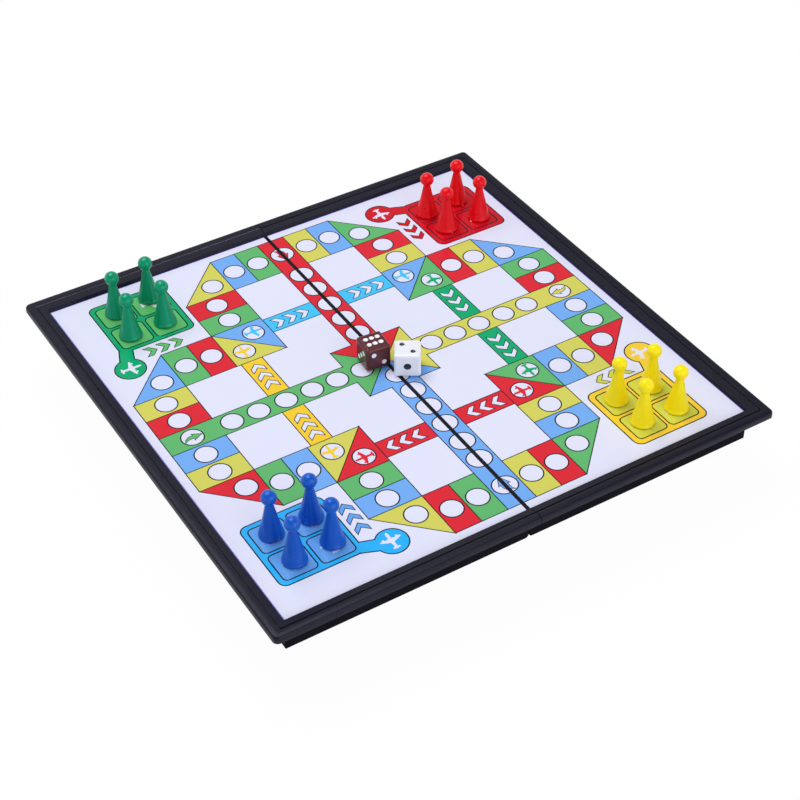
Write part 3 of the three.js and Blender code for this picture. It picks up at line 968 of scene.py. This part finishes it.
# Case halves
print("Moulding the case halves")
moulder = mouldTree()
for side in ("right", "left"):
    shell = bpy.data.objects.new(f"shell_{side}", nodes[f"case_{side}"].data.copy())
    scene.collection.objects.link(shell)
    shell.data.materials.clear()
    finished(shell, moulder, {
        "Weld": moulded["weld"], "Sharp Angle": math.radians(moulded["sharpAngle"]),
        "Tray Top": moulded["trayTop"], "Groove Wall": (*moulded["grooveWall"], 0),
        "Wall Margin": moulded["wallMargin"], "Finish": rimBlack, "Tray Finish": trayBlack,
        "Groove Finish": grooveWallPaint[side]})
    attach(shell, f"case_{side}")
    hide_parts(f"case_{side}")

# Magnets and hinge pins
for name, node in nodes.items():
    if "magnet" in name:
        node.data.materials.clear()
        node.data.materials.append(magnetPlating)
    if "pin" in name:
        node.data.materials.clear()
        node.data.materials.append(pinSteel)

# Floor and light, lamps in metres and watts
studio = {
    "floorSize": 6.0,
    "floorLevel": -16.4 * mm,  # the shut box lies on it, the open board is held level above
    "floor": (248, 248, 248),
    "floorRoughness": 0.9,
    "floorWhite": 0.97,  # share of plain white in the floor as it is seen
    "walls": 1.0,  # strength of their light, and of the ceiling's
    "ceiling": 0.25,
    "wallTop": (0.26, 0.45),  # the walls fade into the ceiling between these
    "key": {"place": (-0.12, 0.5, 1.35), "size": 1.0, "power": 14.6},
    "fill": {"place": (0.12, -0.95, 0.42), "size": 0.8, "power": 3.4},
}


def whiteWhereSeen(tree, lit, share):
    # A share of plain white over the lit shader, for all but the light it throws back
    path = tree.nodes.new("ShaderNodeLightPath")
    white = tree.nodes.new("ShaderNodeEmission")
    mix = tree.nodes.new("ShaderNodeMixShader")
    seen = path.outputs["Is Camera Ray"]
    *eithers, part = sums(tree, "ShaderNodeMath", "MAXIMUM", "MAXIMUM", "MULTIPLY")
    for either, ray in zip(eithers, ("Is Glossy Ray", "Is Transmission Ray")):
        tree.links.new(seen, either.inputs[0])
        tree.links.new(path.outputs[ray], either.inputs[1])
        seen = either.outputs[0]
    part.inputs[1].default_value = share
    white.inputs["Color"].default_value = (1, 1, 1, 1)
    white.inputs["Strength"].default_value = 1.0
    tree.links.new(seen, part.inputs[0])
    tree.links.new(part.outputs[0], mix.inputs["Fac"])
    tree.links.new(lit, mix.inputs[1])
    tree.links.new(white.outputs[0], mix.inputs[2])
    return mix.outputs[0]


def lightWorld(room):
    # White walls all round, a dimmer ceiling above them
    world = bpy.data.worlds.new("whiteRoom")
    scene.world = world
    world.use_nodes = True
    tree = world.node_tree
    light = tree.nodes["Background"]
    light.inputs["Color"].default_value = (1, 1, 1, 1)
    direction = tree.nodes.new("ShaderNodeTexCoord")
    height = tree.nodes.new("ShaderNodeSeparateXYZ")
    fade = tree.nodes.new("ShaderNodeMapRange")
    fade.interpolation_type = "SMOOTHSTEP"
    fade.inputs["From Min"].default_value = room["wallTop"][0]
    fade.inputs["From Max"].default_value = room["wallTop"][1]
    fade.inputs["To Min"].default_value = room["walls"]
    fade.inputs["To Max"].default_value = room["ceiling"]
    tree.links.new(direction.outputs["Generated"], height.inputs[0])
    tree.links.new(height.outputs["Z"], fade.inputs["Value"])
    tree.links.new(fade.outputs["Result"], light.inputs["Strength"])


def areaLamp(name, place, size, power):
    # Shines on the middle of the board
    lamp = bpy.data.lights.new(name, "AREA")
    lamp.size, lamp.energy = size, power
    holder = bpy.data.objects.new(name, lamp)
    scene.collection.objects.link(holder)
    aim = (-Vector(place)).to_track_quat("-Z", "Y").to_matrix().to_4x4()
    holder.matrix_world = Matrix.Translation(place) @ aim


def layFloor(size, level, colour):
    mesh = bpy.data.meshes.new("floor")
    half = size / 2
    corners = [(-half, -half), (half, -half), (half, half), (-half, half)]
    mesh.from_pydata([(x, y, level) for x, y in corners], [], [(0, 1, 2, 3)])
    floor = bpy.data.objects.new("floor", mesh)
    scene.collection.objects.link(floor)
    material = bpy.data.materials.new("whiteFloor")
    material.use_nodes = True
    tree = material.node_tree
    shader = tree.nodes["Principled BSDF"]
    shader.inputs["Base Color"].default_value = screenColour(*colour)
    shader.inputs["Roughness"].default_value = studio["floorRoughness"]
    shown = whiteWhereSeen(tree, shader.outputs[0], studio["floorWhite"])
    tree.links.new(shown, tree.nodes["Material Output"].inputs["Surface"])
    mesh.materials.append(material)


print("Lighting")
layFloor(studio["floorSize"], studio["floorLevel"], studio["floor"])
lightWorld(studio)
for name in ("key", "fill"):
    areaLamp(name, **studio[name])

scene.view_settings.view_transform = "Standard"
